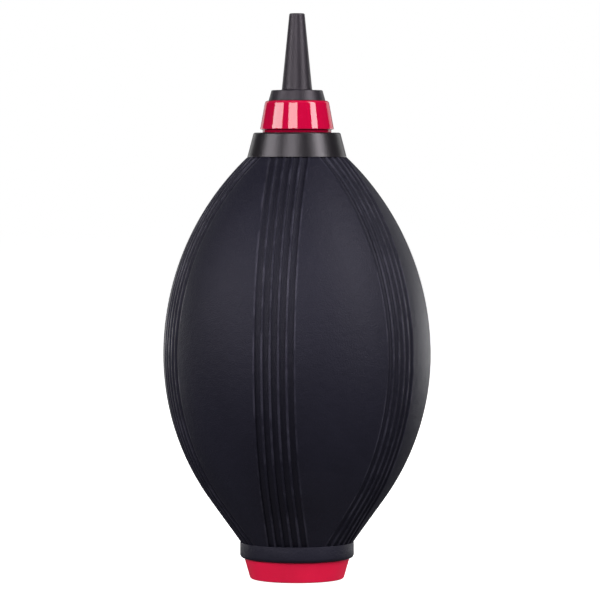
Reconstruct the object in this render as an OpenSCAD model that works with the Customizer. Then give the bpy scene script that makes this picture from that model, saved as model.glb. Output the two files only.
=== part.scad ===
// Hand-held dust blower: a rubber bulb on a plug-in foot that holds the
// inlet filter and the one-way valve, with a screw-in nozzle on top.
// The origin is the centre of the foot's rest face. +Z runs up to the
// nozzle's tip, and the front faces -Y.

/* [Bulb] */
// Outside diameter of the bulb at its widest
bulb_d = 66.9; // [60:0.1:80]
// Height of the widest plane above the rest face
belly_z = 56; // [50:0.5:62]
// Angle of the straight cone below the lower arc, from upright
cone_angle = 35.7; // [32:0.1:40]
// Thickness of the rubber wall
bulb_wall = 2.8; // [2:0.1:3.4]
// Diameter of the rubber lip round the mouth
lip_d = 28.5; // [26:0.1:30]
// Height of the lip's lower face above the rest face
lip_z = 5.2; // [4:0.1:6.2]
// Height of the lip
lip_h = 3.95; // [3.4:0.05:4.6]
// How far the lip stands out from the foot of the cone
lip_step = 0.15; // [0.1:0.05:0.4]
// Rounding of the lip's lower edge
lip_round = 1; // [0.4:0.1:1.4]
// Outside diameter of the rubber neck inside the collar
rubber_neck_d = 18; // [16.5:0.1:19]

/* [Grip] */
// Number of ribbed bands round the bulb
band_count = 6; // [4:1:6]
// Angle of the first band from the front, towards -X
band_turn = 9.7; // [0:0.1:30]
// Grooves in one band
band_grooves = 5; // [3:1:5]
// Distance between grooves
groove_pitch = 2.04; // [1.8:0.01:2.2]
// Width of a groove
groove_w = 1.45; // [1:0.05:1.6]
// Depth of a groove
groove_depth = 0.45; // [0.2:0.05:0.6]

/* [Neck] */
// Height of the face where the collar meets the bulb
shoulder_z = 105.2; // [100:0.1:108]
// Diameter of the collar's foot
collar_d = 24.8; // [23:0.1:26]
// Diameter of the collar's top
collar_top_d = 21.6; // [20.6:0.1:22.6]
// Height of the collar
collar_h = 6.1; // [5.5:0.1:7.5]
// Rounding of the collar's top edge
collar_round = 0.5; // [0.2:0.1:0.8]
// Thickness of the collar's top plate
collar_plate = 1; // [0.8:0.1:1.4]
// Thickness of the socket's flange on the rubber neck
socket_flange = 1; // [0.8:0.1:1.4]
// Diameter of the socket's spigot inside the rubber neck
spigot_d = 12.8; // [11.8:0.1:13.4]
// Length of the socket's spigot
spigot_l = 9.4; // [8.4:0.1:11]
// Height of one barb on the spigot above its surface
barb = 0.35; // [0.2:0.05:0.6]

/* [Lock ring and nozzle] */
// Diameter of the lock ring at its foot
ring_d = 18.4; // [17.6:0.1:20.4]
// Diameter of the lock ring at its top
ring_top_d = 15.8; // [14.8:0.1:17]
// Height of the lock ring, with its skirt
ring_h = 7.9; // [7:0.1:9.6]
// Rounding of the lock ring's top edge
ring_round = 0.7; // [0.3:0.1:1]
// Diameter of the recessed skirt under the lock ring
skirt_d = 17.1; // [16:0.1:17.4]
// Height of the recessed skirt
skirt_h = 0.75; // [0.5:0.05:1]
// Step from the screw thread out to the shank inside the lock ring
shank_step = 0.8; // [0.6:0.1:1.2]
// Diameter of the nozzle's flange at its foot
flange_d = 14.2; // [13:0.1:14.6]
// Diameter of the nozzle's flange at its top
flange_top_d = 12.7; // [11:0.1:12.9]
// Height of the nozzle's flange
flange_h = 2.6; // [2:0.1:3.5]
// Diameter of the tapered tube at its root
tube_root_d = 7.6; // [6.8:0.1:9.2]
// Diameter of the tapered tube at its tip
tube_tip_d = 3.8; // [3.4:0.1:5]
// Length of the tapered tube
tube_l = 19.1; // [15:0.1:30]
// Rounding of the tube's tip
tip_round = 0.4; // [0.1:0.1:0.6]
// Diameter of the outlet bore at the tip
outlet_d = 1.8; // [1.2:0.1:2.2]
// Length of the outlet bore
outlet_l = 10; // [6:0.5:14]
// Diameter of the air bore through the shank
air_bore_d = 4.4; // [3:0.1:5]
// Outside diameter of the screw thread
thread_d = 8; // [7.2:0.1:8.6]
// Length of the screw thread
thread_l = 5.5; // [4.6:0.1:6.2]

/* [Foot and valve] */
// Diameter of the foot's flange under the lip
foot_d = 26.4; // [24:0.1:27]
// Diameter of the foot at its rest face
foot_rest_d = 23.4; // [22.4:0.1:24.6]
// Rounding of the foot's lower edge
foot_round = 0.5; // [0.2:0.1:0.8]
// Depth of the recess under the foot
foot_recess = 1; // [0.6:0.1:1.4]
// Width of the foot's rim round that recess
foot_rim = 2.2; // [1.8:0.1:3]
// Thickness of the foot's floor
foot_floor = 1.6; // [1.2:0.1:2]
// Diameter of the mouth in the rubber lip
mouth_d = 20.8; // [20:0.1:21.8]
// Height of the retaining bead round the foot's plug
bead = 0.5; // [0.3:0.1:0.7]
// Diameter of one inlet hole
inlet_d = 2.4; // [1.6:0.1:2.8]
// Holes in the ring round the middle one
inlet_count = 6; // [4:1:8]
// Thickness of the plug's wall
plug_wall = 1.8; // [1.4:0.1:2.2]
// Thickness of the inlet filter
filter_t = 3.4; // [2:0.1:4]
// Thickness of the valve seat
seat_t = 1.6; // [1.2:0.1:2]
// Width of the ledge that the valve seat rests on
seat_ledge = 0.6; // [0.4:0.1:0.8]
// Thickness of the cage's wall round the valve disc
cage_wall = 1.5; // [1.2:0.1:2]
// Width of the land under the disc's edge, outside the seat's ring groove
seat_land = 0.7; // [0.4:0.1:1]
// Thickness of the valve disc
disc_t = 1; // [0.6:0.1:1.4]
// Lift of the valve disc off its seat
disc_lift = 1.4; // [0.8:0.1:1.8]
// Thickness of the valve cage's top
cage_t = 1.2; // [0.8:0.1:1.6]
// Diameter of one window in the cage's top
cage_window_d = 3; // [2.4:0.1:3.4]

/* [Squeeze] */
// Width and height of each part of the wall that gives under the fingers
pad_size = 46; // [36:1:48]
// Corner radius of that part
pad_corner = 9; // [6:0.5:9.5]

/* [Fits] */
// Radial clearance of the screw thread
thread_gap = 0.06; // [0.02:0.01:0.1]
// Radial clearance of a piece that slides freely
slide_gap = 0.3; // [0.2:0.05:0.4]
// Gap between seated pieces that come apart in use
seat_gap = 0.05; // [0.02:0.01:0.1]

/* [Hidden] */
$fn = 96;
past = 1; // how far a cutting tool runs past the face that it cuts

rubber = "#26262b";
black_plastic = "#1b1b1e";
gloss_red = "#c3123b";
matt_red = "#c9204a";
white_plastic = "#d9dad6";
silicone = "#c8d2d4";
foam = "#5b5f66";

// Bulb
bulb_r = bulb_d / 2;
lip_r = lip_d / 2;
mouth_r = mouth_d / 2;
rubber_neck_r = rubber_neck_d / 2;
collar_r = collar_d / 2;
lip_top_z = lip_z + lip_h;
cone_foot_r = lip_r - lip_step;
cavity_top_z = shoulder_z - bulb_wall;
// Arc from the widest plane up to the collar's foot
upper_arc_r = ((shoulder_z - belly_z) ^ 2 + (bulb_r - collar_r) ^ 2) / 2 / (bulb_r - collar_r);
// Arc from the widest plane down to where it meets the cone without a corner
lower_arc_r = ((belly_z - lip_top_z) * tan(cone_angle) - (bulb_r - cone_foot_r))
    / (1 / cos(cone_angle) - 1);
// Level where the inside of the wall, a wall's thickness in, meets the mouth
mouth_top_z = lip_top_z + (mouth_r - cone_foot_r + bulb_wall / cos(cone_angle)) / tan(cone_angle);
groove_foot_z = lip_top_z + groove_depth;
pad_break = (pad_size + slide_gap) / 2;
groove_start = band_grooves * groove_pitch / 2 / tan(180 / band_count);

// Neck
collar_top_z = shoulder_z + collar_h;
plate_z = collar_top_z - collar_plate;
neck_top_z = plate_z - socket_flange;
spigot_r = spigot_d / 2;
spigot_foot_z = neck_top_z - spigot_l;
thread_r = thread_d / 2;
shank_d = thread_d + 2 * shank_step;
socket_bore_r = thread_r + thread_gap;
seal_d = collar_plate;
seal_r = socket_bore_r + seal_d / 2;
seal_hole_r = seal_r + seal_d / 2 + slide_gap;

// Lock ring and nozzle
ring_foot_z = collar_top_z + seat_gap;
skirt_top_z = ring_foot_z + skirt_h;
ring_top_z = ring_foot_z + ring_h;
flange_top_z = ring_top_z + flange_h;
tip_z = flange_top_z + tube_l;
thread_foot_z = plate_z - thread_l;
outlet_foot_z = tip_z - outlet_l;

// Foot and valve, from the rest face up
floor_top_z = foot_recess + foot_floor;
seat_z = floor_top_z + filter_t;
seat_top_z = seat_z + seat_t;
disc_z = seat_top_z + seat_gap;
cage_under_z = disc_z + disc_t + disc_lift + seat_gap;
plug_top_z = cage_under_z + cage_t;
plug_bore_r = mouth_r - plug_wall;
filter_r = plug_bore_r - seat_ledge;
cage_bore_r = plug_bore_r - cage_wall;
disc_r = cage_bore_r - slide_gap;
seat_groove_w = inlet_d + 2 * slide_gap;
port_ring_r = disc_r - seat_land - seat_groove_w / 2;
seat_groove_depth = seat_t / 4;
bead_z = max(mouth_top_z + bead, lip_top_z + bead);
bead_h = 1;

// A ring-shaped slab with an upright hole.
module tube_ring(r_out, r_in, h) {
    difference() {
        cylinder(r = r_out, h = h);
        translate([0, 0, -past]) cylinder(r = r_in, h = h + 2 * past);
    }
}

// Holes in a ring round the axis.
module ring_of_holes(count, ring_r, hole_r, h) {
    for (i = [0 : count - 1])
        rotate(360 / count * i) translate([ring_r, 0, 0]) cylinder(r = hole_r, h = h);
}

// Radius of the side at a level, taken in by inset: the straight cone, then
// the two arcs that meet in the widest plane.
function side_r(z, inset) =
    let (arc = (z > belly_z ? upper_arc_r : lower_arc_r))
    z < belly_z - (lower_arc_r - inset) * sin(cone_angle)
        ? cone_foot_r + (z - lip_top_z) * tan(cone_angle) - inset / cos(cone_angle)
        : bulb_r - arc + sqrt((arc - inset) ^ 2 - (z - belly_z) ^ 2);

// Points of the side from level low to level high in equal steps. The first
// point can be left out.
function side_points(inset, low, high, steps, first = 0) = [
    for (i = [first : steps])
        let (z = low + (high - low) * i / steps)
        [side_r(z, inset), z]
];

// Half section of the bulb, taken in by inset. It has a corner at the pads'
// edges, so that a ring ends where a pad ends.
module bulb_half_section(inset, low_z, high_z) {
    polygon(concat(
        [[0, low_z]],
        side_points(inset, low_z, belly_z - pad_break, 7),
        side_points(inset, belly_z - pad_break, belly_z, 4, 1),
        side_points(inset, belly_z, belly_z + pad_break, 4, 1),
        side_points(inset, belly_z + pad_break, high_z, 6, 1),
        [[0, high_z]]
    ));
}

// Half section of the lip, with a rounded lower edge.
module lip_half_section() {
    translate([0, lip_z + lip_round]) square([lip_r, lip_top_z - lip_z - lip_round]);
    translate([0, lip_z]) square([lip_r - lip_round, lip_round]);
    translate([lip_r - lip_round, lip_z + lip_round]) circle(r = lip_round);
}

// Half section of the socket's outside: flange, spigot, two barbs in the
// rubber and one under it.
module socket_half_section() {
    barb_z = [cavity_top_z - 2 * barb, cavity_top_z + bulb_wall / 2, shoulder_z + bulb_wall / 2];
    translate([0, neck_top_z]) square([rubber_neck_r, socket_flange]);
    translate([0, spigot_foot_z]) square([spigot_r, spigot_l]);
    for (z = barb_z)
        polygon([[0, z], [spigot_r, z], [spigot_r + barb, z + 2 * barb], [0, z + 2 * barb]]);
}

// The grooves of every band: upright slabs, as deep as groove_depth below the
// bulb's outside at every level.
module grip_grooves() {
    difference() {
        for (band = [0 : band_count - 1], i = [0 : band_grooves - 1])
            rotate(360 / band_count * band - 90 - band_turn)
                translate([
                    groove_start,
                    (i - (band_grooves - 1) / 2) * groove_pitch - groove_w / 2,
                    groove_foot_z
                ])
                    cube([bulb_r, groove_w, shoulder_z - groove_foot_z + past]);
        rotate_extrude() bulb_half_section(groove_depth, lip_top_z - past, shoulder_z + 2 * past);
    }
}

// The whole rubber moulding, before the squeezed walls are parted from it.
module rubber_shell() {
    difference() {
        rotate_extrude() {
            bulb_half_section(0, lip_top_z, shoulder_z);
            lip_half_section();
            translate([0, shoulder_z]) square([rubber_neck_r, neck_top_z - shoulder_z]);
        }
        rotate_extrude() {
            bulb_half_section(bulb_wall, mouth_top_z, cavity_top_z);
            square([mouth_r, mouth_top_z]);
        }
        rotate_extrude() {
            socket_half_section();
            translate([0, cavity_top_z - past]) square([spigot_r, past]);
        }
        grip_grooves();
    }
}

// A pad's outline run along Y through the widest plane, from y to y + l and
// grown on every side by grow.
module pad_block(grow, y, l) {
    flat = pad_size / 2 - pad_corner;
    corner_r = pad_corner + grow;
    translate([0, y + l, belly_z]) rotate([90, 0, 0]) linear_extrude(l) {
        square([2 * flat, 2 * (flat + corner_r)], center = true);
        square([2 * (flat + corner_r), 2 * flat], center = true);
        for (x = [-flat, flat], z = [-flat, flat]) translate([x, z]) circle(r = corner_r);
    }
}

module bulb() {
    color(rubber) difference() {
        rubber_shell();
        pad_block(slide_gap, -bulb_d, 2 * bulb_d);
    }
}

// Front wall where a thumb presses.
module squeeze_wall_front() {
    color(rubber) intersection() {
        rubber_shell();
        pad_block(0, -bulb_d, bulb_d);
    }
}

// Back wall where the fingers press.
module squeeze_wall_back() {
    color(rubber) intersection() {
        rubber_shell();
        pad_block(0, 0, bulb_d);
    }
}

// Threaded insert that the nozzle screws into.
module neck_socket() {
    color(black_plastic) difference() {
        rotate_extrude() socket_half_section();
        translate([0, 0, spigot_foot_z - past])
            cylinder(d = air_bore_d, h = plate_z - spigot_foot_z + 2 * past);
        translate([0, 0, thread_foot_z - seat_gap])
            cylinder(r = socket_bore_r, h = thread_l + seat_gap + past);
    }
}

// Tapered cover that clamps the rubber neck on the socket.
module neck_collar() {
    slope = (collar_r - collar_top_d / 2) / collar_h;
    color(black_plastic) difference() {
        rotate_extrude() {
            polygon([
                [0, shoulder_z], [collar_r, shoulder_z],
                [collar_top_d / 2 + slope * collar_round, collar_top_z - collar_round],
                [collar_top_d / 2 - collar_round, collar_top_z], [0, collar_top_z]
            ]);
            translate([collar_top_d / 2 - collar_round, collar_top_z - collar_round])
                circle(r = collar_round);
        }
        translate([0, 0, shoulder_z - past])
            cylinder(r = rubber_neck_r, h = plate_z - shoulder_z + past);
        cylinder(r = seal_hole_r, h = collar_top_z + past);
    }
}

// Ring seal between the socket and the lock ring.
module nozzle_seal() {
    color(rubber) translate([0, 0, plate_z + (collar_plate + seat_gap) / 2])
        rotate_extrude() translate([seal_r, 0]) circle(d = seal_d);
}

// Tapered outlet tube with its flange, shank and screw thread.
module nozzle() {
    bore_r = air_bore_d / 2;
    outlet_r = outlet_d / 2;
    color(black_plastic) difference() {
        rotate_extrude() {
            translate([0, thread_foot_z]) square([thread_r, ring_foot_z - thread_foot_z]);
            translate([0, ring_foot_z]) square([shank_d / 2, ring_h]);
            polygon([
                [0, ring_top_z], [flange_d / 2, ring_top_z],
                [flange_top_d / 2, flange_top_z], [tube_root_d / 2, flange_top_z],
                [tube_tip_d / 2, tip_z - tip_round], [tube_tip_d / 2 - tip_round, tip_z],
                [0, tip_z]
            ]);
        }
        rotate_extrude() polygon([
            [0, thread_foot_z - past], [bore_r, thread_foot_z - past], [bore_r, flange_top_z],
            [outlet_r, outlet_foot_z], [outlet_r, tip_z + past], [0, tip_z + past]
        ]);
    }
}

// Coloured ring pressed on the shank, under the nozzle's flange.
module lock_ring() {
    slope = (ring_d - ring_top_d) / 2 / (ring_top_z - skirt_top_z);
    color(gloss_red) difference() {
        rotate_extrude() {
            translate([0, ring_foot_z]) square([skirt_d / 2, skirt_h]);
            polygon([
                [0, skirt_top_z], [ring_d / 2, skirt_top_z],
                [ring_top_d / 2 + slope * ring_round, ring_top_z - ring_round],
                [ring_top_d / 2 - ring_round, ring_top_z], [0, ring_top_z]
            ]);
            translate([ring_top_d / 2 - ring_round, ring_top_z - ring_round])
                circle(r = ring_round);
        }
        translate([0, 0, ring_foot_z - past]) cylinder(d = shank_d, h = ring_h + 2 * past);
    }
}

// Foot that plugs the mouth: a rest rim, an inlet grille, a filter chamber
// and, above it, a chamber for the valve.
module base_cap() {
    foot_r = foot_d / 2;
    rest_r = foot_rest_d / 2;
    slope = (foot_r - rest_r) / lip_z;
    color(matt_red) difference() {
        rotate_extrude() {
            polygon([
                [0, 0], [rest_r - foot_round, 0], [rest_r + slope * foot_round, foot_round],
                [foot_r, lip_z], [0, lip_z]
            ]);
            translate([rest_r - foot_round, foot_round]) circle(r = foot_round);
            translate([0, lip_z]) square([mouth_r, plug_top_z - lip_z]);
            polygon([
                [0, bead_z], [mouth_r, bead_z], [mouth_r + bead, bead_z + bead_h / 2],
                [mouth_r, bead_z + bead_h], [0, bead_z + bead_h]
            ]);
        }
        translate([0, 0, -past]) cylinder(r = rest_r - foot_rim, h = foot_recess + past);
        translate([0, 0, floor_top_z]) cylinder(r = filter_r, h = filter_t + past);
        translate([0, 0, seat_z]) cylinder(r = plug_bore_r, h = plug_top_z - seat_z + past);
        cylinder(d = inlet_d, h = floor_top_z + past);
        ring_of_holes(inlet_count, port_ring_r, inlet_d / 2, floor_top_z + past);
    }
}

// Foam disc that keeps dust out of the valve.
module inlet_filter() {
    color(foam) translate([0, 0, floor_top_z]) cylinder(r = filter_r, h = filter_t);
}

// Ported plate with a ring groove that joins its ports under the disc.
module valve_seat() {
    color(white_plastic) difference() {
        translate([0, 0, seat_z]) cylinder(r = plug_bore_r, h = seat_t);
        translate([0, 0, seat_z - past])
            ring_of_holes(inlet_count, port_ring_r, inlet_d / 2, seat_t + 2 * past);
        translate([0, 0, seat_top_z - seat_groove_depth])
            tube_ring(port_ring_r + seat_groove_w / 2, port_ring_r - seat_groove_w / 2,
                seat_groove_depth + past);
    }
}

// Loose disc that lifts off the seat as the bulb draws air in.
module valve_disc() {
    edge_r = disc_t / 2;
    color(silicone) translate([0, 0, disc_z]) rotate_extrude() {
        square([disc_r - edge_r, disc_t]);
        translate([disc_r - edge_r, edge_r]) circle(r = edge_r);
    }
}

// Cage that guides the disc and stops its lift.
module valve_cage() {
    window_r = cage_window_d / 2;
    window_ring_r = cage_bore_r - window_r + slide_gap;
    color(white_plastic) difference() {
        translate([0, 0, seat_top_z]) cylinder(r = plug_bore_r, h = plug_top_z - seat_top_z);
        translate([0, 0, seat_top_z - past])
            cylinder(r = cage_bore_r, h = cage_under_z - seat_top_z + past);
        cylinder(r = window_r, h = plug_top_z + past);
        ring_of_holes(inlet_count, window_ring_r, window_r, plug_top_z + past);
    }
}

bulb();
squeeze_wall_front();
squeeze_wall_back();
neck_socket();
neck_collar();
nozzle_seal();
nozzle();
lock_ring();
base_cap();
inlet_filter();
valve_seat();
valve_disc();
valve_cage();
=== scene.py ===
"""Looks of a hand-held dust blower: rubber bulb, foot with its inlet valve, and screw-in nozzle."""
import logging
import math
from dataclasses import dataclass, field
from enum import Enum
from typing import Iterable, Sequence

import bpy
import numpy as np
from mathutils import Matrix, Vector


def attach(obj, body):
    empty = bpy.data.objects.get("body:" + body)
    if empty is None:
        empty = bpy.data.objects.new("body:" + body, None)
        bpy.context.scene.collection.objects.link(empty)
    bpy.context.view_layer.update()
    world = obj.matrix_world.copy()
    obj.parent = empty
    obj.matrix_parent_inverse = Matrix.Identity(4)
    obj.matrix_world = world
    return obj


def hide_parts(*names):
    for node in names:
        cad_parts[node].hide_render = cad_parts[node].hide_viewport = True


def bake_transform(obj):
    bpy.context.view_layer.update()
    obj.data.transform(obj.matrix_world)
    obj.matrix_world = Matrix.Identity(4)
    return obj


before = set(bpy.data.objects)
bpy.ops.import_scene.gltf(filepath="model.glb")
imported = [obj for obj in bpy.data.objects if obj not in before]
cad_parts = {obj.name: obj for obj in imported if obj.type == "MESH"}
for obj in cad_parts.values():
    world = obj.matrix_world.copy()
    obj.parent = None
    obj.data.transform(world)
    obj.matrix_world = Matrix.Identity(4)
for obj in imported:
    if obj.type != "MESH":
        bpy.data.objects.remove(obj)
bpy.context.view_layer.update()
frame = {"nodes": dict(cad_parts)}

MM = 0.001
TURN_STEPS = 160
ARC_STEPS = 4
EDGE = "edge"
OUTWARD = "outward"
GRIP = "grip"
# Point attribute that marks where painted shade darkens the colour: the rubber's groove floors and the lock
# ring's skirt
PAINTED_SHADE_MASK = "groove"
# Where the polish and painted highlight of a band's outer crest fade, in half pitches from the outer groove's
# middle
CREST_FADE = (1.05, 1.25)

Colour = tuple[float, float, float]
Point = tuple[float, float]
Value = float | bpy.types.NodeSocket
Tint = Colour | bpy.types.NodeSocket
log = logging.getLogger("dust_blower")


class Body(Enum):
    """The rigid bodies that pieces ride on."""

    BLOWER = "blower_body"
    FRONT = "front_wall"
    BACK = "back_wall"
    SEAL = "seal_ring"
    NOZZLE = "nozzle_head"
    VALVE = "inlet_valve"


class Slot(Enum):
    """The record's material slots."""

    RUBBER = "bulb_rubber"
    BLACK = "black_plastic"
    SEAL = "seal_rubber"
    RING = "ring_red"
    FOOT = "foot_red"
    FOAM = "filter_foam"
    VALVE = "valve_plastic"
    SILICONE = "valve_silicone"


class Half(Enum):
    """A half of the bulb, with the first of its three grip bands and the way that it is pressed."""

    FRONT = (-1, -1.0)
    BACK = (2, 1.0)

    @property
    def first_band(self) -> int:
        """The number of the half's first grip band."""
        return self.value[0]

    @property
    def way(self) -> float:
        """The sign of Y on the half's side."""
        return self.value[1]


# ---------------------------------------------------------------- node helpers


class Nodes:
    """Adds and links nodes of one tree."""

    def __init__(self, tree: bpy.types.NodeTree) -> None:
        """Keeps the tree.

        Args:
            tree: the shader or geometry tree to build in.
        """
        self.tree = tree

    def fill(self, node: bpy.types.Node, inputs: dict) -> None:
        """Sets or links a node's inputs.

        Args:
            node: the node.
            inputs: socket name or number to a value or to an output socket.
        """
        for key, value in inputs.items():
            if isinstance(value, bpy.types.NodeSocket):
                self.tree.links.new(value, node.inputs[key])
            else:
                node.inputs[key].default_value = value

    def add(self, kind: str, inputs: dict | None = None, **settings: object) -> bpy.types.Node:
        """Adds a node.

        Args:
            kind: the node's type name.
            inputs: socket name or number to a value or to an output socket.
            settings: properties of the node itself.

        Returns:
            The new node.
        """
        node = self.tree.nodes.new(kind)
        for name, value in settings.items():
            setattr(node, name, value)
        self.fill(node, inputs or {})
        return node

    def own_place(self) -> bpy.types.NodeSocket:
        """Adds the piece's Object coordinates and returns their socket."""
        return self.add("ShaderNodeTexCoord").outputs["Object"]

    def math(self, operation: str, *values: Value, clamp: bool = False) -> bpy.types.NodeSocket:
        """Adds a Math node and returns its output.

        Args:
            operation: the operation's name.
            values: numbers or output sockets, in order.
            clamp: whether the result is held between 0 and 1.

        Returns:
            The result's socket.
        """
        inputs = dict(enumerate(values))
        return self.add("ShaderNodeMath", inputs, operation=operation, use_clamp=clamp).outputs[0]

    def ramp(
        self, value: Value, low: Value, high: Value, to_low: float = 0.0, to_high: float = 1.0,
    ) -> bpy.types.NodeSocket:
        """Maps a value smoothly from one range to another.

        Args:
            value: the output socket to map.
            low: the value that gives to_low.
            high: the value that gives to_high.
            to_low: the result at low.
            to_high: the result at high.

        Returns:
            The result's socket.
        """
        inputs = {"Value": value, "From Min": low, "From Max": high, "To Min": to_low, "To Max": to_high}
        return self.add("ShaderNodeMapRange", inputs, interpolation_type="SMOOTHSTEP").outputs[0]

    def noise(
        self, vector: bpy.types.NodeSocket, scale: Value, detail: float, roughness: float = 0.5,
    ) -> bpy.types.NodeSocket:
        """Adds a noise texture and returns its value.

        Args:
            vector: the coordinates' socket.
            scale: features to a metre.
            detail: octaves.
            roughness: share of each finer octave.

        Returns:
            The noise value's socket.
        """
        inputs = {"Vector": vector, "Scale": scale, "Detail": detail, "Roughness": roughness}
        return self.add("ShaderNodeTexNoise", inputs, noise_dimensions="3D").outputs[0]

    def mix(self, factor: Value, a: Tint, b: Tint) -> bpy.types.NodeSocket:
        """Mixes two colours.

        Args:
            factor: the second colour's share.
            a: the first colour or its socket.
            b: the second colour or its socket.

        Returns:
            The mixed colour's socket.
        """
        first, second = (c if isinstance(c, bpy.types.NodeSocket) else (*c, 1.0) for c in (a, b))
        inputs = {0: factor, 6: first, 7: second}
        return self.add("ShaderNodeMix", inputs, data_type="RGBA", clamp_factor=True).outputs[2]

    def join(self, *shapes: bpy.types.NodeSocket) -> bpy.types.NodeSocket:
        """Joins geometry.

        Args:
            shapes: the sockets of the shapes.

        Returns:
            The joined shape's socket.
        """
        node = self.add("GeometryNodeJoinGeometry")
        for shape in shapes:
            self.tree.links.new(shape, node.inputs[0])
        return node.outputs[0]

    def lift(self, shape: bpy.types.NodeSocket, level: Value) -> bpy.types.NodeSocket:
        """Moves geometry up.

        Args:
            shape: the shape's socket.
            level: how far up.

        Returns:
            The moved shape's socket.
        """
        way = self.add("ShaderNodeCombineXYZ", {2: level}).outputs[0]
        return self.add("GeometryNodeTransform", {"Geometry": shape, "Translation": way}).outputs[0]


def new_group(name: str, kind: str, sockets: Iterable[tuple]) -> tuple[Nodes, dict, bpy.types.Node]:
    """Makes an empty node group with its sockets.

    Args:
        name: the group's name.
        kind: the tree's type name.
        sockets: (name, "INPUT" or "OUTPUT", socket type, default or None) for each socket.

    Returns:
        The tree's helper, its input sockets by name, and its output node.
    """
    tree = bpy.data.node_groups.new(name, kind)
    for label, way, socket_type, default in sockets:
        socket = tree.interface.new_socket(name=label, in_out=way, socket_type=socket_type)
        if default is not None:
            socket.default_value = default
    nodes = Nodes(tree)
    inputs = nodes.add("NodeGroupInput")
    output = nodes.add("NodeGroupOutput")
    return nodes, {s.name: s for s in inputs.outputs if s.name}, output


# --------------------------------------------------------- shared shader groups

FLOAT = "NodeSocketFloat"


def moulded_grain_group() -> bpy.types.NodeTree:
    """Builds the fine grain that a mould leaves: a height and a speckle mask.

    Returns:
        The shader group.
    """
    nodes, given, output = new_group("moulded_grain", "ShaderNodeTree", (
        ("Grains per metre", "INPUT", FLOAT, 4000.0),
        ("Coarseness", "INPUT", FLOAT, 0.3),
        ("Height", "OUTPUT", FLOAT, None),
        ("Speckle", "OUTPUT", FLOAT, None),
    ))
    place = nodes.own_place()
    fine = nodes.noise(place, given["Grains per metre"], 3.0, 0.6)
    coarse = nodes.noise(place, nodes.math("MULTIPLY", given["Grains per metre"], 0.17), 2.0)
    share = nodes.math("MULTIPLY", coarse, given["Coarseness"])
    nodes.fill(output, {
        "Height": nodes.math("ADD", fine, share), "Speckle": nodes.ramp(fine, 0.58, 0.74)})
    return nodes.tree


def tone_drift_group() -> bpy.types.NodeTree:
    """Builds the slow change of tone over a moulding: a signed drift round zero and a patch mask.

    Returns:
        The shader group.
    """
    nodes, given, output = new_group("tone_drift", "ShaderNodeTree", (
        ("Patches per metre", "INPUT", FLOAT, 60.0),
        ("Stretch", "INPUT", FLOAT, 1.0),
        ("Drift", "OUTPUT", FLOAT, None),
        ("Patch", "OUTPUT", FLOAT, None),
    ))
    apart = nodes.add("ShaderNodeSeparateXYZ", {0: nodes.own_place()})
    tall = nodes.math("MULTIPLY", apart.outputs[2], given["Stretch"])
    joined = nodes.add("ShaderNodeCombineXYZ", {0: apart.outputs[0], 1: apart.outputs[1], 2: tall})
    noise = nodes.noise(joined.outputs[0], given["Patches per metre"], 4.0, 0.55)
    drift = nodes.math("MULTIPLY", nodes.math("SUBTRACT", noise, 0.5), 2.0)
    nodes.fill(output, {"Drift": drift, "Patch": nodes.ramp(noise, 0.52, 0.7)})
    return nodes.tree


def edge_wear_and_highlight_group() -> bpy.types.NodeTree:
    """Builds the broken polish along worn edges, from the piece's own edge attribute; on the rubber's rib
    crests the mask also paints a highlight.

    Returns:
        The shader group.
    """
    nodes, given, output = new_group("edge_wear_and_highlight", "ShaderNodeTree", (
        ("Amount", "INPUT", FLOAT, 0.5),
        ("Nicks per metre", "INPUT", FLOAT, 900.0),
        ("Mask", "OUTPUT", FLOAT, None),
    ))
    edge = nodes.add("ShaderNodeAttribute", attribute_name=EDGE).outputs["Fac"]
    nicks = nodes.noise(nodes.own_place(), given["Nicks per metre"], 3.0, 0.65)
    mask = nodes.math("MULTIPLY", edge, nodes.ramp(nicks, 0.38, 0.66))
    nodes.fill(output, {"Mask": nodes.math("MULTIPLY", mask, given["Amount"], clamp=True)})
    return nodes.tree


def settled_dust_group() -> bpy.types.NodeTree:
    """Builds the fine dust that settles on faces that look up: a mask.

    Returns:
        The shader group.
    """
    nodes, given, output = new_group("settled_dust", "ShaderNodeTree", (
        ("Amount", "INPUT", FLOAT, 0.2),
        ("Specks per metre", "INPUT", FLOAT, 2500.0),
        ("Mask", "OUTPUT", FLOAT, None),
    ))
    normal = nodes.add("ShaderNodeNewGeometry").outputs["Normal"]
    up = nodes.add("ShaderNodeSeparateXYZ", {0: normal}).outputs[2]
    specks = nodes.noise(nodes.own_place(), given["Specks per metre"], 2.0, 0.7)
    mask = nodes.math("MULTIPLY", nodes.ramp(specks, 0.6, 0.72), nodes.ramp(up, -0.2, 0.9, 0.15, 1.0))
    nodes.fill(output, {"Mask": nodes.math("MULTIPLY", mask, given["Amount"], clamp=True)})
    return nodes.tree


class SharedEffects:
    """The shader groups that several finishes use, each built once."""

    def __init__(self) -> None:
        """Builds every group."""
        self.grain = moulded_grain_group()
        self.drift = tone_drift_group()
        self.wear_and_highlight = edge_wear_and_highlight_group()
        self.dust = settled_dust_group()


# --------------------------------------------------------------------- finishes


DUST_COLOUR = (0.35, 0.34, 0.33)
WHITE = (1.0, 1.0, 1.0)


def new_material(name: str, colour: Colour) -> tuple[bpy.types.Material, Nodes, bpy.types.Node]:
    """Makes a material with its plain shader.

    Args:
        name: the material's name.
        colour: its colour in a plain view.

    Returns:
        The material, its tree's helper and its shader.
    """
    material = bpy.data.materials.new(name)
    material.use_nodes = True
    material.diffuse_color = (*colour, 1.0)
    return material, Nodes(material.node_tree), material.node_tree.nodes["Principled BSDF"]


def grey(colour: Colour, factor: float) -> Colour:
    """Scales a colour's brightness by a factor."""
    return tuple(min(1.0, channel * factor) for channel in colour)


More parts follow.
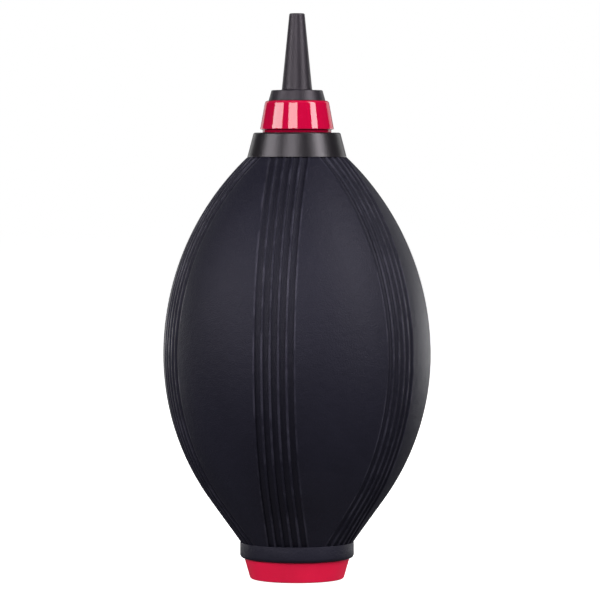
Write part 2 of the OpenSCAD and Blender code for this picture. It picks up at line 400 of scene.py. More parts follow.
@dataclass(frozen=True)
class MouldedFinish:
    """A moulded plastic or rubber: tone drift, grain, worn edges (on the rubber's rib crests also a painted
    highlight), painted shade in grooves and under overhangs, and a little dust.
    """

    name: str
    colour: Colour
    worn_and_highlight_colour: Colour
    roughness: float
    roughness_spread: float
    specular: float = 0.5
    specular_tint: Colour = WHITE
    grains: float = 4000.0
    coarseness: float = 0.3
    grain_height: float = 0.02 * MM
    tone: float = 0.25
    patches: float = 60.0
    stretch: float = 1.0
    wear_and_highlight: float = 0.4
    nicks: float = 900.0
    dust: float = 0.1
    coat: float = 0.0
    coat_roughness: float = 0.05
    # How far the painted shade darkens the colour where the painted-shade mask is set
    painted_recess_shade: float = 0.0
    subsurface: float = 0.0

    def build(self, effects: SharedEffects) -> bpy.types.Material:
        """Builds the material.

        Args:
            effects: the shared shader groups.

        Returns:
            The material.
        """
        material, nodes, shader = new_material(self.name, self.colour)
        group = "ShaderNodeGroup"
        drift = nodes.add(group, {
            "Patches per metre": self.patches, "Stretch": self.stretch}, node_tree=effects.drift)
        grain = nodes.add(group, {
            "Grains per metre": self.grains, "Coarseness": self.coarseness}, node_tree=effects.grain)
        wear_and_highlight = nodes.add(group, {"Amount": self.wear_and_highlight, "Nicks per metre": self.nicks}, node_tree=effects.wear_and_highlight)
        dust = nodes.add(group, {"Amount": self.dust}, node_tree=effects.dust)

        light, dark = grey(self.colour, 1 + self.tone), grey(self.colour, 1 - self.tone)
        base = nodes.mix(nodes.ramp(drift.outputs["Drift"], -0.5, 0.5), dark, light)
        base = nodes.mix(nodes.math("MULTIPLY", grain.outputs["Speckle"], 0.5), base, grey(light, 1.3))
        # Painted shade: the base colour darkens where the painted-shade mask is set, in groove floors and
        # under the lock ring's overhang
        if self.painted_recess_shade:
            sunk = nodes.add("ShaderNodeAttribute", attribute_name=PAINTED_SHADE_MASK).outputs["Fac"]
            base = nodes.mix(nodes.math("MULTIPLY", sunk, self.painted_recess_shade), base, grey(dark, 0.5))
        # Edges lighten towards the worn colour: real wear, and on the rubber's rib crests a painted highlight
        base = nodes.mix(wear_and_highlight.outputs["Mask"], base, self.worn_and_highlight_colour)
        base = nodes.mix(dust.outputs["Mask"], base, DUST_COLOUR)

        rough = nodes.math("MULTIPLY_ADD", drift.outputs["Drift"], self.roughness_spread, self.roughness)
        rough = nodes.math("MULTIPLY_ADD", wear_and_highlight.outputs["Mask"], -0.5 * self.roughness, rough)
        rough = nodes.math("MULTIPLY_ADD", dust.outputs["Mask"], 0.3, rough, clamp=True)
        bump = nodes.add("ShaderNodeBump", {
            "Strength": 1.0, "Distance": self.grain_height, "Height": grain.outputs["Height"]})

        nodes.fill(shader, {
            "Base Color": base, "Roughness": rough, "Normal": bump.outputs["Normal"],
            "Specular IOR Level": self.specular, "Specular Tint": (*self.specular_tint, 1.0),
            "Coat Weight": self.coat, "Coat Roughness": self.coat_roughness,
            "Subsurface Weight": self.subsurface, "Subsurface Scale": 2 * MM})
        return material


@dataclass(frozen=True)
class FoamFinish:
    """Open-cell filter foam: pores painted dark as painted shade, between paler struts."""

    name: str
    strut: Colour
    pore_shade: Colour
    cells: float = 2400.0
    cell_depth: float = 0.2 * MM
    patches: float = 300.0

    def build(self, effects: SharedEffects) -> bpy.types.Material:
        """Builds the material.

        Args:
            effects: the shared shader groups.

        Returns:
            The material.
        """
        material, nodes, shader = new_material(self.name, self.strut)
        cell = nodes.add("ShaderNodeTexVoronoi", {
            "Vector": nodes.own_place(), "Scale": self.cells}).outputs["Distance"]
        drift = nodes.add("ShaderNodeGroup", {"Patches per metre": self.patches}, node_tree=effects.drift)
        tone = nodes.mix(drift.outputs["Patch"], self.strut, grey(self.strut, 0.7))
        # Painted shade: the cells' middles, where the pores lie, take the dark pore colour
        base = nodes.mix(nodes.ramp(cell, 0.2, 0.5, 1.0, 0.0), tone, self.pore_shade)
        bump = nodes.add("ShaderNodeBump", {"Strength": 1.0, "Distance": self.cell_depth, "Height": cell})
        nodes.fill(shader, {
            "Base Color": base, "Normal": bump.outputs["Normal"], "Roughness": 0.95,
            "Specular IOR Level": 0.2})
        return material


@dataclass(frozen=True)
class FloorFinish:
    """A pale studio floor: bright to the eye, and dim in what it throws back at the object."""

    name: str = "pale_floor"
    colour: Colour = (0.9, 0.9, 0.9)
    glow: float = 1.1
    thrown: float = 0.1

    def build(self) -> bpy.types.Material:
        """Builds the material.

        Returns:
            The material.
        """
        material, nodes, shader = new_material(self.name, self.colour)
        nodes.tree.nodes.remove(shader)
        mottle = nodes.noise(nodes.own_place(), 40.0, 3.0)
        tone = nodes.mix(mottle, self.colour, grey(self.colour, 0.97))
        seen = nodes.add("ShaderNodeBsdfDiffuse", {"Color": tone})
        glow = nodes.add("ShaderNodeEmission", {"Color": tone, "Strength": self.glow})
        bright = nodes.add("ShaderNodeAddShader", {0: seen.outputs[0], 1: glow.outputs[0]})
        dim = nodes.add("ShaderNodeBsdfDiffuse", {"Color": (*grey(WHITE, self.thrown), 1.0)})
        path = nodes.add("ShaderNodeLightPath").outputs
        both = nodes.add("ShaderNodeMixShader", {
            0: path["Is Camera Ray"], 1: dim.outputs[0], 2: bright.outputs[0]})
        below = nodes.add("ShaderNodeNewGeometry").outputs["Backfacing"]
        clear = nodes.add("ShaderNodeBsdfTransparent")
        passed = nodes.math("MAXIMUM", below, path["Is Shadow Ray"])
        whole = nodes.add("ShaderNodeMixShader", {0: passed, 1: both.outputs[0], 2: clear.outputs[0]})
        nodes.fill(nodes.tree.nodes["Material Output"], {"Surface": whole.outputs[0]})
        return material


class FinishSet:
    """The object's materials, by record slot."""

    def __init__(self) -> None:
        """Builds every finish."""
        effects = SharedEffects()
        finishes = {
            # The rubber's pale worn colour and strong wear amount paint highlight lines along its rib crests
            Slot.RUBBER: MouldedFinish(
                "matt_rubber", (0.0096, 0.0092, 0.0165), (0.04, 0.038, 0.055), 0.5, 0.05,
                specular=0.22, specular_tint=(0.86, 0.82, 1.0), grains=3000.0, coarseness=0.8,
                grain_height=0.12 * MM, tone=0.16, patches=46.0, stretch=0.45, wear_and_highlight=0.8, nicks=110.0,
                # painted shade in the groove floors
                dust=0.05, painted_recess_shade=0.35),
            Slot.BLACK: MouldedFinish(
                "satin_black_plastic", (0.009, 0.0078, 0.0098), (0.05, 0.045, 0.05), 0.3, 0.05,
                specular=0.4, specular_tint=(1.0, 0.93, 1.0), grains=6500.0, tone=0.2, wear_and_highlight=0.5,
                dust=0.05),
            Slot.SEAL: MouldedFinish(
                "seal_rubber", (0.02, 0.02, 0.02), (0.06, 0.06, 0.06), 0.5, 0.08, grains=3000.0),
            # The lock ring's skirt gets a strong painted shadow from the ring's overhang
            Slot.RING: MouldedFinish(
                "polished_crimson", (0.5, 0.002, 0.04), (0.7, 0.05, 0.12), 0.3, 0.03,
                specular=0.0, painted_recess_shade=0.85, grains=2500.0, grain_height=0.004 * MM, tone=0.06,
                wear_and_highlight=0.25, dust=0.03, coat=1.0, coat_roughness=0.035, subsurface=0.05),
            Slot.FOOT: MouldedFinish(
                "matt_crimson", (0.76, 0.009, 0.058), (0.8, 0.06, 0.14), 0.58, 0.06,
                specular=0.2, grains=4200.0, grain_height=0.03 * MM, tone=0.07, wear_and_highlight=0.3, dust=0.04,
                subsurface=0.05),
            Slot.FOAM: FoamFinish("filter_foam", (0.2, 0.2, 0.2), (0.015, 0.015, 0.016)),
            Slot.VALVE: MouldedFinish(
                "valve_plastic", (0.66, 0.66, 0.62), (0.8, 0.8, 0.78), 0.4, 0.05, grains=3500.0),
            Slot.SILICONE: MouldedFinish(
                "valve_silicone", (0.5, 0.55, 0.55), (0.6, 0.65, 0.65), 0.42, 0.05,
                grains=2500.0, subsurface=0.3),
        }
        self.materials = {slot: finish.build(effects) for slot, finish in finishes.items()}
        self.matt_black = MouldedFinish(
            "matt_black_plastic", (0.0115, 0.009, 0.0135), (0.075, 0.066, 0.078), 0.42, 0.05,
            specular=0.4, specular_tint=(1.0, 0.9, 1.0), grains=3800.0, grain_height=0.05 * MM,
            tone=0.2, wear_and_highlight=0.6, dust=0.05).build(effects)

    def __getitem__(self, slot: Slot) -> bpy.types.Material:
        """Returns the slot's material."""
        return self.materials[slot]


# ------------------------------------------------------------------ mesh helpers


@dataclass(frozen=True)
class Corner:
    """A corner of a turned outline, rounded by bend."""

    r: float
    z: float
    bend: float = 0.08 * MM


@dataclass
class OutlinePoint:
    """A point of a rounded outline, with its outward normal and how worn it may be."""

    r: float
    z: float
    normal: Point
    edge: float


def rounded(corners: Sequence[Corner]) -> list[OutlinePoint]:
    """Rounds every corner of a closed outline that runs counter-clockwise in r and z.

    Args:
        corners: the outline's corners.

    Returns:
        The points of all the arcs, in order.
    """
    points: list[OutlinePoint] = []
    count = len(corners)
    for i, corner in enumerate(corners):
        here = np.array([corner.r, corner.z])
        before = np.array([corners[i - 1].r, corners[i - 1].z]) - here
        after = np.array([corners[(i + 1) % count].r, corners[(i + 1) % count].z]) - here
        reach = min(np.linalg.norm(before), np.linalg.norm(after)) * 0.49
        u, v = before / np.linalg.norm(before), after / np.linalg.norm(after)
        cross = u[1] * v[0] - u[0] * v[1]
        half = math.acos(float(np.clip(u @ v, -1, 1))) / 2
        inset = min(corner.bend / math.tan(half), reach)
        radius = inset * math.tan(half)
        convex = 1.0 if cross > 0 else -1.0
        centre = here + (u + v) / np.linalg.norm(u + v) * radius / math.sin(half)
        start, end = here + u * inset - centre, here + v * inset - centre
        a0 = math.atan2(start[1], start[0])
        turn = (math.atan2(end[1], end[0]) - a0 + math.pi) % (2 * math.pi) - math.pi
        for k in range(ARC_STEPS + 1):
            angle = a0 + turn * k / ARC_STEPS
            way = (math.cos(angle), math.sin(angle))
            worn = math.sin(math.pi * k / ARC_STEPS) if convex > 0 else 0.0
            points.append(OutlinePoint(
                centre[0] + radius * way[0], centre[1] + radius * way[1],
                (way[0] * convex, way[1] * convex), worn))
    return points


def new_object(
    name: str, vertices: Iterable[Sequence[float]], faces: Iterable[Sequence[int]],
    material: bpy.types.Material,
) -> bpy.types.Object:
    """Makes a smooth-shaded mesh object at the origin.

    Args:
        name: the object's name.
        vertices: points in metres.
        faces: lists of vertex numbers, counter-clockwise from outside.
        material: the object's only material.

    Returns:
        The object, linked to the scene.
    """
    mesh = bpy.data.meshes.new(name)
    mesh.from_pydata([tuple(v) for v in vertices], [], [tuple(f) for f in faces])
    mesh.materials.append(material)
    mesh.shade_smooth()
    mesh.update()
    obj = bpy.data.objects.new(name, mesh)
    bpy.context.scene.collection.objects.link(obj)
    return obj


def store(mesh: bpy.types.Mesh, name: str, values: np.ndarray, kind: str = "FLOAT") -> None:
    """Stores a value or a vector on every vertex.

    Args:
        mesh: the mesh to write to.
        name: the attribute's name.
        values: an array with one row a vertex.
        kind: FLOAT or FLOAT_VECTOR.
    """
    attribute = mesh.attributes.new(name, kind, "POINT")
    key = "vector" if kind == "FLOAT_VECTOR" else "value"
    attribute.data.foreach_set(key, np.asarray(values, np.float32).ravel())


def turned(name: str, corners: Sequence[Corner], material: bpy.types.Material) -> bpy.types.Object:
    """Turns a closed outline round the Z axis, with exact normals on its rounded corners.

    Args:
        name: the object's name.
        corners: the outline, counter-clockwise with r to the right and z up.
        material: the object's material.

    Returns:
        The turned object.
    """
    points = rounded(corners)
    count = len(points)
    angles = 2 * math.pi * np.arange(TURN_STEPS) / TURN_STEPS
    r, z = np.array([p.r for p in points]), np.array([p.z for p in points])
    nr, nz = np.array([p.normal[0] for p in points]), np.array([p.normal[1] for p in points])
    cos, sin = np.cos(angles)[:, None], np.sin(angles)[:, None]
    level = np.broadcast_to(z, (TURN_STEPS, count))
    vertices = np.stack([cos * r, sin * r, level], axis=2).reshape(-1, 3)
    lift = np.broadcast_to(nz, (TURN_STEPS, count))
    normals = np.stack([cos * nr, sin * nr, lift], axis=2).reshape(-1, 3)
    faces = [
        (j * count + i, (j + 1) % TURN_STEPS * count + i,
         (j + 1) % TURN_STEPS * count + (i + 1) % count, j * count + (i + 1) % count)
        for j in range(TURN_STEPS) for i in range(count)
    ]
    obj = new_object(name, vertices, faces, material)
    store(obj.data, EDGE, np.tile([p.edge for p in points], TURN_STEPS))
    obj.data.normals_split_custom_set_from_vertices([tuple(n) for n in normals])
    return obj


def run_tree(obj: bpy.types.Object, tree: bpy.types.NodeTree, values: dict) -> bpy.types.Object:
    """Runs a geometry tree on an object and keeps the result as its plain mesh.

    Args:
        obj: the object whose mesh the tree changes.
        tree: the geometry tree.
        values: input name to value.

    Returns:
        The same object, with its new mesh and no modifier.
    """
    modifier = obj.modifiers.new(tree.name, "NODES")
    modifier.node_group = tree
    for item in tree.interface.items_tree:
        if item.item_type == "SOCKET" and item.in_out == "INPUT" and item.name in values:
            modifier[item.identifier] = values[item.name]
    bpy.context.view_layer.update()
    evaluated = obj.evaluated_get(bpy.context.evaluated_depsgraph_get())
    mesh = bpy.data.meshes.new_from_object(evaluated)
    old = obj.data
    obj.modifiers.remove(modifier)
    obj.data = mesh
    mesh.name = obj.name
    bpy.data.meshes.remove(old)
    return obj


def place(obj: bpy.types.Object, body: Body, slot: Slot, *nodes: str) -> None:
    """Lets a finished piece ride on its body and stand for its CAD nodes.

    Args:
        obj: the piece.
        body: the body that it moves with.
        slot: not used.
        nodes: the CAD nodes that it replaces.
    """
    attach(obj, body.value)
    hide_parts(*nodes)
    log.info("%s rides on %s and stands for %s", obj.name, body.value, ", ".join(nodes))


def coat_node(obj: bpy.types.Object, material: bpy.types.Material) -> None:
    """Gives a CAD node its finish, and leaves its mesh as it is.

    Args:
        obj: the CAD node's object.
        material: the finish.
    """
    obj.data.materials.clear()
    obj.data.materials.append(material)
    log.info("%s shows its own mesh", obj.name)


# --------------------------------------------------------------- geometry trees

GEOMETRY = "NodeSocketGeometry"
INTEGER = "NodeSocketInt"
MATERIAL = "NodeSocketMaterial"


def end_tree(
    nodes: Nodes, given: dict, output: bpy.types.Node, shape: bpy.types.NodeSocket,
) -> None:
    """Ends a geometry tree: makes its instances real and sets its material.

    Args:
        nodes: the tree's helper.
        given: the tree's input sockets by name.
        output: the tree's output node.
        shape: the finished shape's socket.
    """
    real = nodes.add("GeometryNodeRealizeInstances", {"Geometry": shape})
    dressed = nodes.add("GeometryNodeSetMaterial", {
        "Geometry": real.outputs[0], "Material": given["Material"]})
    nodes.fill(output, {"Geometry": dressed.outputs[0]})


def grip_rib_tree() -> bpy.types.NodeTree:
    """Builds the tree that sinks the grip grooves and gives the rubber its slight waviness.

    The base mesh carries its outward direction and a grip mask. A point's distance from the
    nearest band's middle plane says which groove it is in, and how deep.

    Returns:
        The geometry tree.
    """
    nodes, given, output = new_group("grip_ribs", "GeometryNodeTree", (
        ("Geometry", "INPUT", GEOMETRY, None),
        ("Bands", "INPUT", INTEGER, 6),
        ("First band angle", "INPUT", FLOAT, 0.0),
        ("Grooves in a band", "INPUT", INTEGER, 5),
        ("Pitch", "INPUT", FLOAT, 2 * MM),
        ("Floor width", "INPUT", FLOAT, 1 * MM),
        ("Wall run", "INPUT", FLOAT, 0.3 * MM),
        ("Depth", "INPUT", FLOAT, 0.45 * MM),
        ("Waviness", "INPUT", FLOAT, 0.05 * MM),
        ("Waves per metre", "INPUT", FLOAT, 40.0),
        ("Seed", "INPUT", FLOAT, 3.0),
        ("Material", "INPUT", MATERIAL, None),
        ("Geometry", "OUTPUT", GEOMETRY, None),
    ))
    math_of = nodes.math
    where = nodes.add("ShaderNodeSeparateXYZ", {0: nodes.add("GeometryNodeInputPosition").outputs[0]})
    x, y = where.outputs[0], where.outputs[1]
    radius = math_of("SQRT", math_of("ADD", math_of("MULTIPLY", x, x), math_of("MULTIPLY", y, y)))
    azimuth = math_of("ARCTAN2", x, math_of("MULTIPLY", y, -1.0))
    half_band = math_of("DIVIDE", math.pi, given["Bands"])
    from_first = math_of("SUBTRACT", azimuth, given["First band angle"])
    from_band = math_of("WRAP", from_first, half_band, math_of("MULTIPLY", half_band, -1.0))

    steps = math_of("DIVIDE", math_of("MULTIPLY", radius, math_of("SINE", from_band)), given["Pitch"])
    last = math_of("MULTIPLY", math_of("SUBTRACT", given["Grooves in a band"], 1.0), 0.5)
    nearest = math_of("MINIMUM", math_of("ROUND", steps), last)
    nearest = math_of("MAXIMUM", nearest, math_of("MULTIPLY", last, -1.0))
    off_steps = math_of("ABSOLUTE", math_of("SUBTRACT", steps, nearest))
    off_middle = math_of("MULTIPLY", off_steps, given["Pitch"])
    half_floor = math_of("MULTIPLY", given["Floor width"], 0.5)
    wall_top = math_of("ADD", half_floor, given["Wall run"])
    grip = nodes.add("GeometryNodeInputNamedAttribute", {"Name": GRIP}, data_type="FLOAT").outputs[0]
    sunk = math_of("MULTIPLY", nodes.ramp(off_middle, half_floor, wall_top, 1.0, 0.0), grip)

    swell = nodes.add("ShaderNodeTexNoise", {
        "Scale": given["Waves per metre"], "Detail": 1.0, "W": given["Seed"]},
        noise_dimensions="4D").outputs[0]
    swell = math_of("MULTIPLY", math_of("SUBTRACT", swell, 0.5), math_of("MULTIPLY", grip, given["Waviness"]))
    rise = math_of("SUBTRACT", swell, math_of("MULTIPLY", sunk, given["Depth"]))
    outward = nodes.add("GeometryNodeInputNamedAttribute", {"Name": OUTWARD}, data_type="FLOAT_VECTOR")
    shift = nodes.add("ShaderNodeVectorMath", {0: outward.outputs[0], "Scale": rise}, operation="SCALE")
    moved = nodes.add("GeometryNodeSetPosition", {"Geometry": given["Geometry"], "Offset": shift.outputs[0]})

    half_pitch = math_of("MULTIPLY", given["Pitch"], 0.5)
    fade_start, fade_end = (math_of("MULTIPLY", half_pitch, share) for share in CREST_FADE)
    beside = nodes.add("ShaderNodeMapRange", {
        "Value": off_middle, "From Min": fade_start, "From Max": fade_end,
        "To Min": 1.0, "To Max": 0.0}).outputs[0]
    # The crest mask becomes the edge mask, which lightens the rib crests as a painted highlight
    crest = math_of("MULTIPLY", nodes.ramp(sunk, 0.05, 0.6, 1.0, 0.0), math_of("MULTIPLY", beside, grip))
    shape = moved.outputs[0]
    # The groove depth is kept as the painted-shade mask, which darkens the groove floors as painted shade
    for name, value in ((PAINTED_SHADE_MASK, sunk), (EDGE, crest)):
        shape = nodes.add("GeometryNodeStoreNamedAttribute", {
            "Geometry": shape, "Name": name, "Value": value}, data_type="FLOAT", domain="POINT").outputs[0]
    end_tree(nodes, given, output, shape)
    return nodes.tree


def screw_thread_tree() -> bpy.types.NodeTree:
    """Builds the tree that winds a screw thread round a shank.

    Returns:
        The geometry tree.
    """
    nodes, given, output = new_group("screw_thread", "GeometryNodeTree", (
        ("Geometry", "INPUT", GEOMETRY, None),
        ("Turns", "INPUT", FLOAT, 3.0),
        ("Pitch", "INPUT", FLOAT, 1.5 * MM),
        ("Crest radius", "INPUT", FLOAT, 4 * MM),
        ("Thread height", "INPUT", FLOAT, 0.45 * MM),
        ("Foot level", "INPUT", FLOAT, 0.1),
        ("Steps in a turn", "INPUT", INTEGER, 48),
        ("Material", "INPUT", MATERIAL, None),
        ("Geometry", "OUTPUT", GEOMETRY, None),
    ))
    middle = nodes.math("SUBTRACT", given["Crest radius"], given["Thread height"])
    spiral = nodes.add("GeometryNodeCurveSpiral", {
        "Resolution": given["Steps in a turn"], "Rotations": given["Turns"],
        "Start Radius": middle, "End Radius": middle,
        "Height": nodes.math("MULTIPLY", given["Turns"], given["Pitch"])})
    upright = nodes.add("GeometryNodeSetCurveNormal", {"Curve": spiral.outputs[0]}, mode="Z_UP")
    section = nodes.add("GeometryNodeCurvePrimitiveCircle", {
        "Resolution": 4, "Radius": given["Thread height"]}, mode="RADIUS")
    ridge = nodes.add("GeometryNodeCurveToMesh", {
        "Curve": upright.outputs[0], "Profile Curve": section.outputs[0], "Fill Caps": True})
    lifted = nodes.lift(ridge.outputs[0], given["Foot level"])
    end_tree(nodes, given, output, nodes.join(given["Geometry"], lifted))
    return nodes.tree


def port_plate_tree() -> bpy.types.NodeTree:
    """Builds the tree that joins a drilled round plate to a turned body.

    Returns:
        The geometry tree.
    """
    nodes, given, output = new_group("port_plate", "GeometryNodeTree", (
        ("Geometry", "INPUT", GEOMETRY, None),
        ("Radius", "INPUT", FLOAT, 8 * MM),
        ("Holes", "INPUT", INTEGER, 6),
        ("Hole radius", "INPUT", FLOAT, 1.2 * MM),
        ("Ring radius", "INPUT", FLOAT, 4.6 * MM),
        ("Foot level", "INPUT", FLOAT, 1 * MM),
        ("Thickness", "INPUT", FLOAT, 1.5 * MM),
        ("Material", "INPUT", MATERIAL, None),
        ("Geometry", "OUTPUT", GEOMETRY, None),
    ))
    circle = "GeometryNodeCurvePrimitiveCircle"
    rim = nodes.add(circle, {"Resolution": 96, "Radius": given["Radius"]}, mode="RADIUS")
    hole = nodes.add(circle, {"Resolution": 40, "Radius": given["Hole radius"]}, mode="RADIUS")
    ring = nodes.add("GeometryNodeMeshCircle", {
        "Vertices": given["Holes"], "Radius": given["Ring radius"]})
    spots = nodes.add("GeometryNodeInstanceOnPoints", {
        "Points": ring.outputs[0], "Instance": hole.outputs[0]})
    drilled = nodes.add("GeometryNodeRealizeInstances", {"Geometry": spots.outputs[0]})
    edges = nodes.join(rim.outputs[0], hole.outputs[0], drilled.outputs[0])
    flat = nodes.add("GeometryNodeFillCurve", {"Curve": edges}).outputs[0]
    upwards = nodes.add("ShaderNodeCombineXYZ", {2: 1.0}).outputs[0]
    raised = nodes.add("GeometryNodeExtrudeMesh", {
        "Mesh": flat, "Offset": upwards, "Offset Scale": given["Thickness"], "Individual": False})
    under = nodes.add("GeometryNodeFlipFaces", {"Mesh": flat})
    closed = nodes.join(raised.outputs[0], under.outputs[0])
    welded = nodes.add("GeometryNodeMergeByDistance", {"Geometry": closed, "Distance": 0.001 * MM})
    sharp = nodes.add("GeometryNodeSetShadeSmooth", {
        "Geometry": welded.outputs[0], "Shade Smooth": False})
    lifted = nodes.lift(sharp.outputs[0], given["Foot level"])
    end_tree(nodes, given, output, nodes.join(lifted, given["Geometry"]))
    return nodes.tree


# ------------------------------------------------------------------ the pieces


@dataclass(frozen=True)
class WallRow:
    """A row of the bulb wall's closed outline."""

    r: float
    z: float
    guide_r: float
    way: Point
    grip: float = 0.0


@dataclass
class BulbHalf:
    """One half of the rubber bulb, whose wall gives under the hand."""

    half: Half
    finish: bpy.types.Material
    belly_r: float = 33.38 * MM
    belly_z: float = 56 * MM
    cone_angle: float = math.radians(35.7)
    wall: float = 2.8 * MM
    lip_r: float = 14.24 * MM
    lip_z: float = 5.2 * MM
    lip_top_z: float = 9.15 * MM
    lip_step: float = 0.15 * MM
    lip_foot_bend: float = 0.9 * MM
    lip_top_bend: float = 0.12 * MM
    mouth_r: float = 10.4 * MM
    shoulder_r: float = 12.4 * MM
    shoulder_z: float = 105.2 * MM
    neck_r: float = 8.98 * MM
    neck_top_z: float = 109.3 * MM
    neck_bore_r: float = 6.42 * MM
    bands: int = 6
    first_band_angle: float = math.radians(-9.7)
    grooves: int = 5
    pitch: float = 2.04 * MM
    floor_width: float = 1.1 * MM
    wall_run: float = 0.28 * MM
    depth: float = 0.45 * MM
    waviness: float = 0.06 * MM
    waves: float = 45.0
    still_y: float = 16 * MM
    sharp_angle: float = math.radians(50)
    side_rows: int = 150
    inner_rows: int = 40
    inner_start: float = 0.6 * MM
    bore_gap: float = 0.2 * MM
    mouth_gap: float = 0.1 * MM
    panel_columns: int = 9

    def side(self, z: float) -> tuple[float, Point]:
        """Finds the side's radius and outward direction at a level.

        Args:
            z: the level.

        Returns:
            The radius, and the direction in r and z.
        """
        foot_r = self.lip_r - self.lip_step
        rise, tan = self.shoulder_z - self.belly_z, math.tan(self.cone_angle)
        spread = self.belly_r - self.shoulder_r
        arc = (rise ** 2 + spread ** 2) / 2 / spread
        if z < self.belly_z:
            fall = self.belly_z - self.lip_top_z
            arc = (fall * tan - (self.belly_r - foot_r)) / (1 / math.cos(self.cone_angle) - 1)
        cone_way = (math.cos(self.cone_angle), -math.sin(self.cone_angle))
        if z < self.belly_z + arc * cone_way[1]:
            return foot_r + (z - self.lip_top_z) * tan, cone_way
        up = z - self.belly_z
        reach = math.sqrt(arc ** 2 - up ** 2)
        return self.belly_r - arc + reach, (reach / arc, up / arc)

    def outline(self) -> list[WallRow]:
        """Lists the wall's closed outline, counter-clockwise.

        Returns:
            The rows, each with the radius that sets its columns.
        """
        foot_r, top_r = self.lip_r - self.lip_step, self.shoulder_r
        rows = [WallRow(self.mouth_r, self.lip_z, foot_r, (0.0, -1.0))]
        for bend, centre_z, start, steps in (
            (self.lip_foot_bend, self.lip_z + self.lip_foot_bend, -math.pi / 2, 6),
            (self.lip_top_bend, self.lip_top_z - self.lip_top_bend, 0.0, 3),
        ):
            for k in range(steps + 1):
                a = start + math.pi / 2 * k / steps
                way = (math.cos(a), math.sin(a))
                r, z = self.lip_r - bend + bend * way[0], centre_z + bend * way[1]
                rows.append(WallRow(r, z, foot_r, way))
        for i in range(self.side_rows + 1):
            z = self.lip_top_z + (self.shoulder_z - self.lip_top_z) * i / self.side_rows
            r, way = self.side(z)
            rows.append(WallRow(r, z, r, (1.0, 0.0) if i in (0, self.side_rows) else way, 1.0))
        under_z = self.shoulder_z - self.wall
        rows += [
            WallRow(self.neck_r, self.shoulder_z, top_r, (1.0, 0.0)),
            WallRow(self.neck_r, self.neck_top_z, top_r, (0.0, 1.0)),
            WallRow(self.neck_bore_r, self.neck_top_z, top_r, (0.0, 1.0)),
            WallRow(self.neck_bore_r, under_z, top_r, (-1.0, 0.0)),
        ]
        start_z = self.shoulder_z - self.inner_start
        for i in range(self.inner_rows + 1):
            outer_z = start_z + (self.lip_top_z - start_z) * i / self.inner_rows
            outer_r, way = self.side(outer_z)
            r, z = outer_r - self.wall * way[0], outer_z - self.wall * way[1]
            if z <= under_z - self.bore_gap and r > self.mouth_r + self.mouth_gap:
                rows.append(WallRow(r, z, outer_r, (-way[0], -way[1])))
        rows.append(WallRow(self.mouth_r, self.lip_top_z, foot_r, (-1.0, 0.0)))
        return rows

    def offsets(self) -> np.ndarray:
        """Finds where a band's columns stand, to follow every groove's floor and walls.

        Returns:
            The sideways distances from the band's middle plane.
        """
        flank = self.floor_width / 2 + self.wall_run * np.linspace(0, 1, 7)
        one = np.concatenate([-flank[::-1], [0.0], flank])
        centres = (np.arange(self.grooves) - (self.grooves - 1) / 2) * self.pitch
        crests = centres[:-1] + self.pitch / 2
        beside = centres[-1] + self.pitch / 2 * np.array(CREST_FADE)
        return np.sort(np.concatenate([(centres[:, None] + one).ravel(), crests, beside, -beside]))

    def azimuths(self, r: float) -> np.ndarray:
        """Finds the angles of a row's columns, which follow the grooves.

        Args:
            r: the side's radius at the row.

        Returns:
            The angles, from the half's first seam to its second.
        """
        half_band = math.pi / self.bands
        across = np.arcsin(self.offsets() / r)
        angles = []
        for k in range(self.half.first_band, self.half.first_band + self.bands // 2):
            centre = self.first_band_angle + 2 * half_band * k
            angles += [np.linspace(centre - half_band, centre + across[0], self.panel_columns)[:-1]]
            angles += [centre + across]
            angles += [np.linspace(centre + across[-1], centre + half_band, self.panel_columns)[1:-1]]
        return np.append(np.concatenate(angles), centre + half_band)

    def build(self, tree: bpy.types.NodeTree) -> bpy.types.Object:
        """Builds the closed half and sinks its grooves.

        Args:
            tree: the geometry tree of the grip ribs.

        Returns:
            The half bulb.
        """
        rows = self.outline()
        count, columns = len(rows), len(self.azimuths(self.shoulder_r))
        vertices, ways, grips = [], [], []
        for row in rows:
            phi = self.azimuths(row.guide_r)
            flat_way = np.column_stack([np.sin(phi), -np.cos(phi)])
            vertices.append(np.column_stack([row.r * flat_way, np.full(columns, row.z)]))
            ways.append(np.column_stack([row.way[0] * flat_way, np.full(columns, row.way[1])]))
            grips.append(np.full(columns, row.grip))
        faces = []
        for i in range(count):
            here, above = i * columns, (i + 1) % count * columns
            faces += [(here + j, here + j + 1, above + j + 1, above + j) for j in range(columns - 1)]
        faces += [tuple(i * columns for i in range(count))]
        faces += [tuple(i * columns + columns - 1 for i in reversed(range(count)))]
        name = f"bulb_{self.half.name.lower()}_half"
        obj = new_object(name, np.concatenate(vertices), faces, self.finish)
        store(obj.data, OUTWARD, np.concatenate(ways), "FLOAT_VECTOR")
        store(obj.data, GRIP, np.concatenate(grips))
        run_tree(obj, tree, {
            "Bands": self.bands, "First band angle": self.first_band_angle,
            "Grooves in a band": self.grooves, "Pitch": self.pitch, "Floor width": self.floor_width,
            "Wall run": self.wall_run, "Depth": self.depth, "Waviness": self.waviness,
            "Waves per metre": self.waves, "Material": self.finish})
        obj.data.set_sharp_from_angle(angle=self.sharp_angle)
        return obj

    def dress(self, obj: bpy.types.Object) -> None:
        """Bakes the half's placement into its mesh and hides the CAD nodes that it stands for.

        Args:
            obj: the half bulb.
        """
        front = self.half is Half.FRONT
        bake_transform(obj)
        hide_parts("squeeze_wall_front" if front else "squeeze_wall_back", "bulb")


